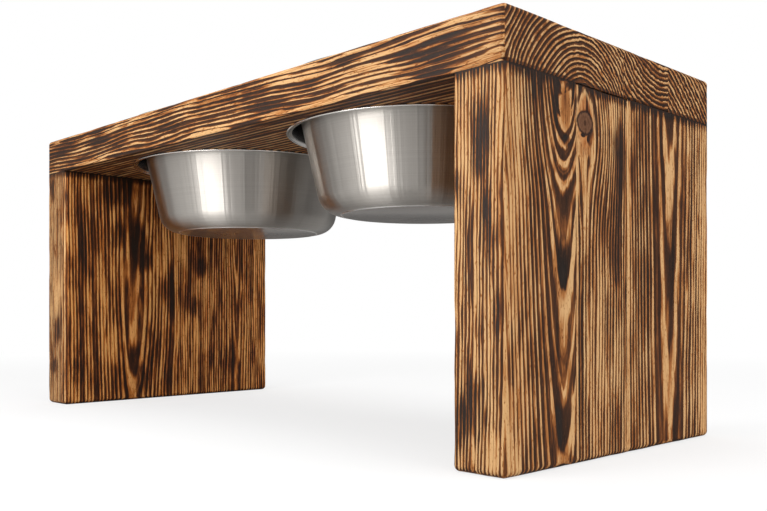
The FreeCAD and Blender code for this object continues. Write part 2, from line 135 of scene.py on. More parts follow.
class Nodes:
    """The nodes of one material or of the world, made one at a time."""

    def __init__(self, tree: bpy.types.NodeTree) -> None:
        """Empties the tree and keeps it."""
        tree.nodes.clear()
        self.tree = tree

    def node(self, kind: str, settings: dict[str, Any] | None = None,
             sockets: dict[Any, Any] | None = None) -> bpy.types.Node:
        """Adds a node of any type.

        Args:
            kind: The node's type.
            settings: Its own properties, and a ramp's stops as pairs of place and colour.
            sockets: A number, colour, value or other socket for each input, by name or position.

        Returns:
            The new node.
        """
        made = self.tree.nodes.new(kind)
        for name, setting in (settings or {}).items():
            if name == "stops":
                elements = made.color_ramp.elements
                while len(elements) < len(setting):
                    elements.new(1.0)
                for element, (place, colour) in zip(elements, setting):
                    element.position, element.color = place, colour
            else:
                setattr(made, name, setting)
        for name, given in (sockets or {}).items():
            given = given.socket if isinstance(given, Value) else given
            if isinstance(given, bpy.types.NodeSocket):
                self.tree.links.new(given, made.inputs[name])
            else:
                made.inputs[name].default_value = given
        return made

    def maths(self, operation: str, *terms: Number) -> Value:
        """Adds a Math node on numbers and values, and returns its result."""
        made = self.node("ShaderNodeMath", {"operation": operation}, dict(enumerate(terms)))
        return Value(self, made.outputs[0])

    def vector_maths(self, operation: str, *terms: Any, output: int = 0) -> bpy.types.NodeSocket:
        """Adds a Vector Math node and returns one of its outputs."""
        made = self.node("ShaderNodeVectorMath", {"operation": operation}, dict(enumerate(terms)))
        return made.outputs[output]

    def millimetres(self) -> bpy.types.NodeSocket:
        """The place on the piece in millimetres, in the frame that all pieces share."""
        place = self.node("ShaderNodeTexCoord").outputs["Object"]
        return self.node("ShaderNodeVectorMath", {"operation": "SCALE"}, {0: place, 3: 1.0 / MM}).outputs[0]

    def split(self, vector: bpy.types.NodeSocket) -> tuple[Value, Value, Value]:
        """The three parts of a vector or colour."""
        outputs = self.node("ShaderNodeSeparateXYZ", None, {0: vector}).outputs
        return Value(self, outputs[0]), Value(self, outputs[1]), Value(self, outputs[2])

    def step(self, value: Number, low: Number, high: Number) -> Value:
        """Rises smoothly from 0 to 1 while a value goes from low to high; low may be above high."""
        made = self.node("ShaderNodeMapRange", {"interpolation_type": "SMOOTHSTEP"},
                         {0: value, 1: low, 2: high, 3: 0.0, 4: 1.0})
        return Value(self, made.outputs[0])

    def clamp(self, value: Value) -> Value:
        """Holds a value between 0 and 1."""
        return Value(self, self.node("ShaderNodeClamp", None, {0: value}).outputs[0])

    def cloud(self, place: bpy.types.NodeSocket, per_unit: Triple, shift: Triple,
              detail: float = 2.0) -> bpy.types.Node:
        """Adds a noise whose lumps have their own size along each axis.

        Args:
            place: Where on the piece.
            per_unit: Lumps per unit along X, Y and Z.
            shift: Which stretch of the noise is used.
            detail: How many finer layers it has.

        Returns:
            The noise node.
        """
        moved = self.vector_maths("MULTIPLY_ADD", place, per_unit, shift)
        return self.node("ShaderNodeTexNoise", {"noise_dimensions": "3D"},
                         {"Vector": moved, "Scale": 1.0, "Detail": detail, "Roughness": 0.55})

    def lumps(self, place: bpy.types.NodeSocket, per_unit: Triple, shift: Triple, detail: float) -> Value:
        """The level of such a noise."""
        return Value(self, self.cloud(place, per_unit, shift, detail).outputs[0])

    def stripes(self, along: Value, detail: float) -> Value:
        """A noise that varies with one value only."""
        made = self.node("ShaderNodeTexNoise", {"noise_dimensions": "1D"}, {
            "W": along, "Scale": 1.0, "Detail": detail, "Roughness": 0.6})
        return Value(self, made.outputs[0])

    def mix_colour(self, share: Number, first: Any, second: Any, way: str = "MIX") -> bpy.types.NodeSocket:
        """Mixes two colours by a share and returns the result."""
        made = self.node("ShaderNodeMix", {"data_type": "RGBA", "blend_type": way, "clamp_factor": True},
                         {0: share, 6: first, 7: second})
        return made.outputs[2]

    def bump(self, strength: float, distance: float, height: Value) -> bpy.types.NodeSocket:
        """Adds relief from a height and returns its normal."""
        return self.node("ShaderNodeBump", None, {
            "Strength": strength, "Distance": distance, "Height": height}).outputs[0]

    def principled(self, sockets: dict[str, Any]) -> bpy.types.NodeSocket:
        """Adds a Principled shader and returns it."""
        return self.node("ShaderNodeBsdfPrincipled", None, sockets).outputs[0]

    def mix_shaders(self, share: Value, first: bpy.types.NodeSocket,
                    second: bpy.types.NodeSocket) -> bpy.types.NodeSocket:
        """Mixes two shaders by a share and returns the result."""
        return self.node("ShaderNodeMixShader", None, {0: share, 1: first, 2: second}).outputs[0]

    def surface(self, shader: bpy.types.NodeSocket) -> None:
        """Gives a shader to the material's surface."""
        self.node("ShaderNodeOutputMaterial", None, {0: shader})


def new_material(name: str) -> tuple[bpy.types.Material, Nodes]:
    """An empty node material and the maker of its nodes.

    Args:
        name: The material's name.

    Returns:
        The material, and what makes its nodes.
    """
    material = bpy.data.materials.new(name)
    material.use_nodes = True
    return material, Nodes(material.node_tree)


# Torched and brushed pine

class Along(Enum):
    """The way that a board's grain runs."""

    LENGTH = "x"
    HEIGHT = "z"


@dataclass(frozen=True)
class Rings:
    """Growth rings round a heart line that runs with the grain, in millimetres.

    The heart's place is given across the grain as Y and then X for a standing board, or Z for a lying one.
    """

    heart: Pair
    spacing: float
    lean: float = 0.0
    sweep_from: float = FAR
    sweep: float = 0.0
    bend: float = 8.0
    phase: float = 0.0
    wander: float = 1.0
    point: float = 0.0
    limit: float = FAR
    jog: float = 3.0


@dataclass(frozen=True)
class Scorch:
    """A patch that the torch burnt more, or less where its strength is below zero, in millimetres.

    Its stain tells how far the bare wood in it is browned. Those at joints and feet also paint shade.
    """

    centre: Triple
    reach: Triple
    strength: float
    stain: float = 0.0


@dataclass(frozen=True)
class Swirl:
    """A place that the grain flows round, in millimetres: Y and Z of its middle, and its reach each way."""

    middle: Pair
    reach: Pair
    pull: float = 0.94


@dataclass(frozen=True)
class Knot:
    """A branch knot, in millimetres: Y and Z of its middle, and half sizes of it and of the almond round it.

    Its skin lies between two shares of its half size.
    """

    middle: Pair
    half: Pair
    almond: Pair
    skin: Pair = (0.8, 1.16)


@dataclass(frozen=True)
class Grain:
    """How one kind of face of a stave looks: its rings and how hard it was torched.

    Burn runs from 0 for bare wood to 1 for char. Blotch and dashes tell how unevenly it was torched, uneven
    how much one ring differs from the next, and bands how soon. Softness is that of the lines' edges, frayed
    how the lines break up, strands how each splits, and thin how narrow the bare ridges are. Ground tells how
    light the wood stays between them, floor the least of that, and ramp how far it lightens towards a ridge.
    """

    rings: Rings
    burn: float
    blotch: float = 0.22
    dashes: float = 0.2
    uneven: float = 1.2
    ground: float = 0.42
    floor: float = 0.0
    softness: float = 0.33
    frayed: float = 0.95
    strands: float = 0.9
    bands: float = 0.83
    thin: float = 0.1
    ramp: float = 0.1
    scorches: tuple[Scorch, ...] = ()


@dataclass(frozen=True)
class Facing:
    """A grain near one outer plane of a board: an axis, and the places where it begins and is full."""

    axis: int
    begins: float
    full: float
    grain: Grain
    colours: "PineColours | None" = None


@dataclass(frozen=True)
class PineColours:
    """The colours from char to bare ridge, and those of a knot."""

    char: Triple = (31, 21, 15)
    smoke: Triple = (74, 44, 25)
    brown: Triple = (126, 72, 32)
    orange: Triple = (187, 122, 64)
    tan: Triple = (231, 184, 128)
    # Grey of soot on deep char, which also paints the char's sheen
    soot_and_sheen: Triple = (51, 43, 39)
    halo: Triple = (226, 182, 140)
    knot: Triple = (124, 84, 58)
    knot_skin: Triple = (50, 31, 23)

    def stops(self) -> list[tuple[float, tuple[float, float, float, float]]]:
        """The stops of the ramp from char to bare ridge."""
        places = (0.0, 0.22, 0.48, 0.76, 1.0)
        return [(place, linear(*colour)) for place, colour
                in zip(places, (self.char, self.smoke, self.brown, self.orange, self.tan))]


# Shaded copy of the pine colours for the left board's broad faces: painted shade and warm bounced light
SHADED_PINE = PineColours(char=(26, 16, 10), smoke=(64, 34, 16), brown=(122, 66, 26), orange=(196, 118, 52),
                        tan=(240, 176, 104), soot_and_sheen=(42, 31, 24))


def on_face(*patches: tuple[float, ...]) -> tuple[Scorch, ...]:
    """Scorches on a broad face, by Y, Z, reach across and along, strength and, where there is one, stain."""
    return tuple(Scorch((0.0, y, z), (FAR, wide, tall), *rest) for y, z, wide, tall, *rest in patches)


def on_edge(*patches: tuple[float, ...]) -> tuple[Scorch, ...]:
    """Scorches on a front edge, by X, Z, reach along X and Z, strength and, where there is one, stain."""
    return tuple(Scorch((x, 0.0, z), (wide, FAR, tall), *rest) for x, z, wide, tall, *rest in patches)


@dataclass(frozen=True)
class Streaks:
    """The noises of one stave: hairs, specks, fibres, dashes, blotches, and the slow drift of its rings."""

    hair: Value
    speck: Value
    fibre: Value
    dash: Value
    blotch: Value
    drift: tuple[Value, Value, Value]


@dataclass(frozen=True)
class TorchedPine:
    """The finish of one stave: ring lines left bare by the wire brush on char, with fibres and rubbed edges.
    """

    name: str
    along: Along
    body: Grain
    facings: tuple[Facing, ...] = ()
    swirls: tuple[Swirl, ...] = ()
    knot: Knot | None = None
    seed: Triple = (0.0, 0.0, 0.0)
    colours: PineColours = PineColours()
    hairiness: float = 0.36
    drift_aside: float = 24.0
    drift_deep: float = 16.0
    raggedness: Pair = (0.9, 0.8)
    patch_edge: Pair = (1.05, 0.35)
    warmth: tuple[float, float, float, float] = (1.0, 0.86, 0.72, 1.0)
    roughness: float = 0.66
    relief: float = 0.9 * MM

    def stretched(self, across: float, along: float) -> Triple:
        """Lumps per millimetre for a noise that is drawn out along the grain."""
        return (along, across, across) if self.along is Along.LENGTH else (across, across, along)

    def streaks(self, nodes: Nodes, place: bpy.types.NodeSocket) -> Streaks:
        """Makes the stave's noises.

        Args:
            nodes: The material's nodes.
            place: Where on the piece.

        Returns:
            The noises.
        """
        def lumps(across: float, along: float, detail: float) -> Value:
            """One noise by its lumps per millimetre across and along the grain."""
            return nodes.lumps(place, self.stretched(across, along), self.seed, detail)

        drift = nodes.cloud(place, self.stretched(0.022, 0.008), self.seed, 1.0)
        return Streaks(hair=lumps(2.2, 0.15, 1.0), speck=lumps(1.1, 0.3, 1.0), fibre=lumps(0.8, 0.026, 4.0),
                       dash=lumps(0.17, 0.024, 2.0), blotch=lumps(0.055, 0.016, 3.0),
                       drift=nodes.split(drift.outputs[1]))

    def material(self) -> bpy.types.Material:
        """Builds the stave's material.

        Returns:
            The material, read in the frame that all pieces share.
        """
        material, nodes = new_material(self.name)
        place = nodes.millimetres()
        x, y, z = nodes.split(place)
        length, depth = (x, z) if self.along is Along.LENGTH else (z, x)
        streaks = self.streaks(nodes, place)
        across = y
        for swirl in self.swirls:
            off, rise = y - swirl.middle[0], z - swirl.middle[1]
            away = off * off / swirl.reach[0] ** 2 + rise * rise / swirl.reach[1] ** 2
            across = across - off * nodes.maths("EXPONENT", -away) * swirl.pull
        where = (across, depth, length)
        tone, burn = self.tone(nodes, self.body, place, where, streaks)
        other_colours = []
        for facing in self.facings:
            share = nodes.step((x, y, z)[facing.axis], facing.begins, facing.full)
            own, own_burn = self.tone(nodes, facing.grain, place, where, streaks)
            tone = tone + (own - tone) * share
            burn = burn + (own_burn - burn) * share
            if facing.colours:
                other_colours.append((share, facing.colours))
        fine = tone + streaks.hair.swing * self.hairiness
        colour = nodes.node("ShaderNodeValToRGB", {"stops": self.colours.stops()}, {0: fine}).outputs[0]
        for share, colours in other_colours:
            own = nodes.node("ShaderNodeValToRGB", {"stops": colours.stops()}, {0: fine}).outputs[0]
            colour = nodes.mix_colour(share, colour, own)
        self.shade(nodes, colour, tone, burn, streaks, y, z)
        return material

    def tone(self, nodes: Nodes, grain: Grain, place: bpy.types.NodeSocket,
             where: tuple[Value, Value, Value], streaks: Streaks) -> tuple[Value, Value]:
        """How light a grain leaves the wood, and how burnt it is.

        Args:
            nodes: The material's nodes.
            grain: The rings and the burn.
            place: Where on the piece.
            where: The same across the grain, in depth and along the grain.
            streaks: The stave's noises.

        Returns:
            The tone from char at 0 to bare ridge at 1, and the burn.
        """
        rings = grain.rings
        across, depth, length = where
        heart = rings.heart[1] + length * rings.lean if rings.lean else rings.heart[1]
        if rings.sweep:
            past = length - rings.sweep_from
            bent = past + nodes.maths("SQRT", past * past + rings.bend ** 2)
            heart = heart + bent * (0.5 * rings.sweep)
        jog = streaks.dash.swing * rings.jog
        aside = across - rings.heart[0] + streaks.drift[0].swing * (self.drift_aside * rings.wander) + jog
        deep = depth - heart + streaks.drift[1].swing * (self.drift_deep * rings.wander) + jog
        if rings.limit < FAR:
            deep = deep / nodes.maths("SQRT", deep * deep / rings.limit ** 2 + 1.0)
        radius = nodes.maths("SQRT", aside * aside + deep * deep)
        if rings.point:
            radius = radius + nodes.maths("SQRT", aside * aside + 0.5) * rings.point
        count = radius / rings.spacing + rings.phase
        turn = count * math.tau
        wave = nodes.maths("SINE", turn + nodes.maths("SINE", turn) * 0.5) * 0.5 + 0.5
        wave = wave + nodes.stripes(count * 3.1 + self.seed[1], 1.0).swing * grain.strands
        level = nodes.stripes(count * grain.bands + self.seed[0], 3.0)
        burn = streaks.blotch.swing * (grain.blotch * 4.0) + streaks.dash.swing * (grain.dashes * 4.0)
        burn = burn + grain.burn
        stain = 0.0
        for scorch in grain.scorches:
            share = self.patch(nodes, place, scorch, streaks)
            burn = burn + share * scorch.strength
            if scorch.stain:
                stain = share * (streaks.fibre.swing * 0.8 + scorch.stain) + stain
        bar = burn * 0.8 + level.swing * grain.uneven + grain.thin
        light = nodes.step(wave + streaks.fibre.swing * grain.frayed,
                           bar - grain.softness, bar + grain.softness)
        burn = nodes.clamp(burn)
        pale_specks, dark_specks = nodes.step(streaks.speck, 0.36, 0.27), nodes.step(streaks.speck, 0.6, 0.72)
        ground = (1.0 - burn) * grain.ground + grain.floor + wave * grain.ramp + pale_specks * 0.14
        ridge = 1.0 - nodes.step(burn, 0.45, 1.15) * 0.3 - streaks.dash.swing * 0.6
        ridge = ridge - streaks.fibre.swing * 0.7 - dark_specks * 0.3
        return ground + (ridge - ground) * light - stain, burn

    def patch(self, nodes: Nodes, place: bpy.types.NodeSocket, scorch: Scorch, streaks: Streaks) -> Value:
        """How strongly a scorch covers a place, with an edge that runs out along the fibres.

        Args:
            nodes: The material's nodes.
            place: Where on the piece.
            scorch: The patch.
            streaks: The stave's noises.

        Returns:
            Its share, from 0 outside to 1 in its middle.
        """
        grow = tuple(1.0 / reach for reach in scorch.reach)
        shift = tuple(-centre * share for centre, share in zip(scorch.centre, grow))
        moved = nodes.vector_maths("MULTIPLY_ADD", place, grow, shift)
        distance = Value(nodes, nodes.vector_maths("LENGTH", moved, output=1))
        ragged = streaks.fibre.swing * self.raggedness[0] + streaks.dash.swing * self.raggedness[1]
        return nodes.step(distance + ragged, *self.patch_edge)

    def shade(self, nodes: Nodes, colour: bpy.types.NodeSocket, tone: Value, burn: Value, streaks: Streaks,
              y: Value, z: Value) -> None:
        """Adds grey soot with a painted sheen, warmth and the knot to the colour, and makes the material's
        gloss and relief.

        Args:
            nodes: The material's nodes.
            colour: The wood's colour so far.
            tone, burn: How light and how burnt the wood is.
            streaks: The stave's noises.
            y, z: The place on the board's face.
        """
        # Grey soot over deep char: partly its own colour, partly a painted sheen
        soot_and_sheen_share = nodes.step(burn - tone * 2.0 + streaks.blotch.swing, 0.62, 1.1)
        soot_and_sheen_share = soot_and_sheen_share * nodes.clamp(streaks.hair.swing * 1.4 + streaks.fibre.swing * 1.4 + 0.5)
        colour = nodes.mix_colour(soot_and_sheen_share, colour, linear(*self.colours.soot_and_sheen))
        warm = nodes.step(streaks.blotch + streaks.fibre.swing * 0.5, 0.35, 0.7)
        colour = nodes.mix_colour(warm * 0.5, colour, self.warmth, "MULTIPLY")
        height = tone * 0.8 + streaks.hair.swing * 0.25
        if self.knot:
            colour, height = self.draw_knot(nodes, colour, height, streaks, y, z)
        nodes.surface(nodes.principled({
            "Base Color": colour, "Roughness": self.roughness - burn * 0.1 + streaks.hair.swing * 0.15,
            "Specular IOR Level": 0.2, "Normal": nodes.bump(0.55, self.relief, height)}))

    def draw_knot(self, nodes: Nodes, colour: bpy.types.NodeSocket, height: Value, streaks: Streaks,
                  y: Value, z: Value) -> tuple[bpy.types.NodeSocket, Value]:
        """Draws the knot's own rings and its dark skin over the wood round it.

        Args:
            nodes: The material's nodes.
            colour, height: What lies round the knot.
            streaks: The stave's noises, which roughen its outline.
            y, z: The place on the board's face.

        Returns:
            The colour and the height with the knot in them.
        """
        knot = self.knot
        off, rise = (y - knot.middle[0]) / knot.half[0], (z - knot.middle[1]) / knot.half[1]
        rough = streaks.fibre.swing * 0.22 + streaks.speck.swing * 0.3
        radius = nodes.maths("SQRT", off * off + rise * rise) + rough
        inside = nodes.step(radius, 1.02, 0.94)
        skin = nodes.step(radius, knot.skin[0], 0.98) * nodes.step(radius, knot.skin[1], 1.02)
        rings = nodes.maths("SINE", radius * 14.0) * 0.5 + 0.5
        core = nodes.step(nodes.maths("SQRT", off * off * 5.0 + rise * rise * 1.3) + rough, 0.5, 0.15)
        across, along = off * (knot.half[0] / knot.almond[0]), rise * (knot.half[1] / knot.almond[1])
        almond = nodes.maths("ABSOLUTE", across) + along * along + streaks.fibre.swing * 0.6
        halo = nodes.step(almond, 1.0, 0.5)
        upper = nodes.step(rise, -1.2, 0.6)
        rim = nodes.step(almond, 0.6, 0.8) * nodes.step(almond, 1.0, 0.9) * upper
        line = nodes.step(almond, 0.94, 1.06) * nodes.step(almond, 1.4, 1.14) * upper
        colour = nodes.mix_colour(halo * 0.55, colour, linear(*self.colours.halo), "MULTIPLY")
        colour = nodes.mix_colour(rim * 0.5, colour, linear(*self.colours.tan))
        colour = nodes.mix_colour(line * 0.75, colour, linear(*self.colours.smoke))
        mottle = rings * 0.28 + core * 0.7 + streaks.speck.swing * 1.6 + streaks.hair.swing * 0.8 + 0.1
        wood = nodes.mix_colour(mottle, linear(*self.colours.knot), linear(*self.colours.smoke))
        colour = nodes.mix_colour(inside, colour, wood)
        colour = nodes.mix_colour(skin * 0.95, colour, linear(*self.colours.knot_skin))
        return colour, height + (rings * 0.3 + 0.4 - height) * inside - skin * 0.6


# Other finishes

@dataclass(frozen=True)
class BrushedSteel:
    """Stainless steel brushed round an axis, with a smoother base inside a radius in millimetres, and a
    near-white ring round the base's edge that is a painted highlight.

    A hazy sheen lies over it, by three shares: everywhere, more towards its outline, and on the base. Inside
    a radius and above a height it takes a dark painted shade.
    """

    name: str
    axis: Pair
    base_radius: float = 0.0
    colour: Triple = (203, 198, 191)
    shade: Triple = (185, 179, 172)
    # Colour of the painted shade on the collar's inner face
    painted_shade: Triple = (64, 59, 55)
    base: Triple = (176, 168, 160)
    roughness: float = 0.35
    base_roughness: float = 0.2
    # Colour of the painted highlight round the base's edge
    worn: Triple = (252, 249, 245)
    haze: float = 0.5
    haze_shares: Triple = (0.07, 0.5, 0.3)
    brushing: float = 1.0
    rippled: float = 1.0
    ripples: float = 7.0
    lines_per_mm: float = 1.6
    # Where the painted shade lies: inside this radius and above these heights
    painted_shade_inside: float = 0.0
    painted_shade_above: Pair = (244.6, 246.0)

    def material(self) -> bpy.types.Material:
        """Builds the steel, with its fine brush lines round the axis.

        Returns:
            The material, read in the frame that all pieces share.
        """
        material, nodes = new_material(self.name)
        place = nodes.millimetres()
        x, y, z = nodes.split(place)
        off, back = x - self.axis[0], y - self.axis[1]
        radius = nodes.maths("SQRT", off * off + back * back)
        turned = nodes.node("ShaderNodeCombineXYZ", None, {
            0: radius * self.lines_per_mm, 1: z * self.lines_per_mm}).outputs[0]
        lines = Value(nodes, nodes.node("ShaderNodeTexNoise", {"noise_dimensions": "2D"}, {
            "Vector": turned, "Scale": 1.0, "Detail": 4.0, "Roughness": 0.7}).outputs[0])
        wear = nodes.lumps(place, (0.03, 0.03, 0.06), (4.0, 1.0, 7.0), 3.0)
        share = nodes.clamp(lines.swing * 1.8 + 0.5 + wear.swing * 0.5)
        colour = nodes.mix_colour(share, linear(*self.shade), linear(*self.colour))
        rim = self.base_radius
        if rim:
            # Painted highlight: a near-white ring round the base's edge
            ring = nodes.step(radius, rim - 1.5, rim - 0.7) * nodes.step(radius, rim + 0.9, rim + 0.2)
            colour = nodes.mix_colour(ring, colour, linear(*self.worn))
        # Painted shade: the collar's inner face, inside a radius and above a height, turns dark
        if self.painted_shade_inside:
            inner = nodes.step(radius, self.painted_shade_inside, self.painted_shade_inside - 0.3)
            inner = inner * nodes.step(z, *self.painted_shade_above)
            colour = nodes.mix_colour(inner, colour, linear(*self.painted_shade))
        ripple = nodes.stripes(nodes.maths("ARCTAN2", back, off) * self.ripples, 4.0) * self.rippled
        shader = nodes.principled({
            "Base Color": colour, "Metallic": 1.0, "Anisotropic": self.brushing, "Anisotropic Rotation": 0.25,
            "Roughness": self.roughness + lines.swing * 0.1 + wear.swing * 0.06,
            "Normal": nodes.bump(0.5, MM, ripple + lines * 0.01)})
        facing = Value(nodes, nodes.node("ShaderNodeLayerWeight", None, {"Blend": 0.5}).outputs["Facing"])
        hazy = self.haze_shares[0] + nodes.step(facing, 0.72, 1.0) * self.haze_shares[1]
        if rim:
            smooth = nodes.principled({
                "Base Color": nodes.mix_colour(share * 0.4, linear(*self.base), linear(*self.shade)),
                "Metallic": 1.0,
                "Roughness": self.base_roughness + lines.swing * 0.08 + wear.swing * 0.1})
            under = nodes.step(radius, rim - 1.0, rim - 1.6)
            shader = nodes.mix_shaders(under, shader, smooth)
            hazy = hazy + (self.haze_shares[2] - hazy) * under
        sheen = nodes.principled({"Base Color": colour, "Metallic": 1.0, "Roughness": self.haze})
        nodes.surface(nodes.mix_shaders(hazy, shader, sheen))
        return material


@dataclass(frozen=True)
class Beech:
    """Plain turned beech with its short dark flecks, for the dowels."""

    name: str = "turned_beech"
    light: Triple = (222, 188, 146)
    dark: Triple = (176, 134, 92)

    def material(self) -> bpy.types.Material:
        """Builds the beech with its grain upright.

        Returns:
            The material, read in the frame that all pieces share.
        """
        material, nodes = new_material(self.name)
        place = nodes.millimetres()
        grain = nodes.lumps(place, (0.9, 0.9, 0.04), (2.0, 5.0, 1.0), 3.0)
        fleck = nodes.lumps(place, (2.4, 2.4, 0.5), (7.0, 3.0, 2.0), 1.0)
        share = nodes.clamp(grain * 0.7 + nodes.step(fleck, 0.6, 0.72) * 0.5)
        nodes.surface(nodes.principled({
            "Base Color": nodes.mix_colour(share, linear(*self.light), linear(*self.dark)),
            "Roughness": grain * 0.2 + 0.5, "Normal": nodes.bump(0.2, 0.2 * MM, grain)}))
        return material


# Shaping

def new_piece(name: str, shape: bmesh.types.BMesh, material: bpy.types.Material,
              smooth: bool) -> bpy.types.Object:
    """Makes a finished object out of a shape that is already in its place.

    Args:
        name: The piece's name.
        shape: Its mesh, which is used up.
        material: Its finish.
        smooth: Whether all of it is shaded smooth; otherwise each face keeps its own setting.

    Returns:
        The new object, at the origin.
    """
    if smooth:
        for face in shape.faces:
            face.smooth = True
    mesh = bpy.data.meshes.new(name)
    shape.to_mesh(mesh)
    shape.free()
    mesh.materials.append(material)
    piece = bpy.data.objects.new(name, mesh)
    bpy.context.scene.collection.objects.link(piece)
    return piece


class Pen:
    """Draws a line point by point in a new shape, in metres."""

    def __init__(self, *start: float) -> None:
        """Puts down the first point."""
        self.shape = bmesh.new()
        self.first = self.last = self.shape.verts.new(Vector(start).to_3d())

    def line(self, *end: float) -> "Pen":
        """Goes straight to a point.

        Args:
            end: The point; its height is 0 where it has two numbers.

        Returns:
            The pen.
        """
        made = bmesh.ops.extrude_vert_indiv(self.shape, verts=[self.last])
        self.last = made["verts"][0]
        self.last.co = Vector(end).to_3d()
        return self

    def arc(self, centre: Sequence[float], axis: Triple, angle: float, steps: int) -> "Pen":
        """Goes round a centre by an angle.

        Args:
            centre: The centre.
            axis: The axis through it.
            angle: How far, in radians.
            steps: How many parts the arc has.

        Returns:
            The pen.
        """
        made = bmesh.ops.spin(self.shape, geom=[self.last], cent=Vector(centre).to_3d(), axis=axis,
                              dvec=(0.0, 0.0, 0.0), angle=angle, steps=steps, use_duplicate=False)
        self.last = next(part for part in made["geom_last"] if isinstance(part, bmesh.types.BMVert))
        return self

    def close(self) -> "Pen":
        """Joins the last point to the first."""
        bmesh.ops.contextual_create(self.shape, geom=[self.last, self.first])
        return self

    def plate(self, low: float, high: float) -> bmesh.types.BMesh:
        """Closes the line where it is open, fills it and raises it into a plate between two heights.

        Args:
            low, high: The heights.

        Returns:
            The plate.
        """
        if (self.last.co - self.first.co).length > JOINED:
            self.close()
        bmesh.ops.remove_doubles(self.shape, verts=self.shape.verts[:], dist=JOINED)
        bmesh.ops.contextual_create(self.shape, geom=self.shape.edges[:])
        raised = bmesh.ops.extrude_face_region(self.shape, geom=self.shape.faces[:])
        upper = [part for part in raised["geom"] if isinstance(part, bmesh.types.BMVert)]
        bmesh.ops.translate(self.shape, verts=self.shape.verts[:], vec=(0.0, 0.0, low))
        bmesh.ops.translate(self.shape, verts=upper, vec=(0.0, 0.0, high - low))
        bmesh.ops.recalc_face_normals(self.shape, faces=self.shape.faces[:])
        return self.shape

    def turned(self, centre: Sequence[float], steps: int) -> bmesh.types.BMesh:
        """Spins the line a full turn round an upright axis, and merges what meets on it.

        Args:
            centre: Where the axis stands.
            steps: How many parts the turn has.

        Returns:
            The turned shape.
        """
        bmesh.ops.spin(self.shape, geom=self.shape.verts[:] + self.shape.edges[:],
                       cent=Vector(centre).to_3d(), axis=UPRIGHT, dvec=(0.0, 0.0, 0.0),
                       angle=math.tau, steps=steps, use_merge=True, use_duplicate=False)
        bmesh.ops.remove_doubles(self.shape, verts=self.shape.verts[:], dist=JOINED)
        bmesh.ops.recalc_face_normals(self.shape, faces=self.shape.faces[:])
        return self.shape


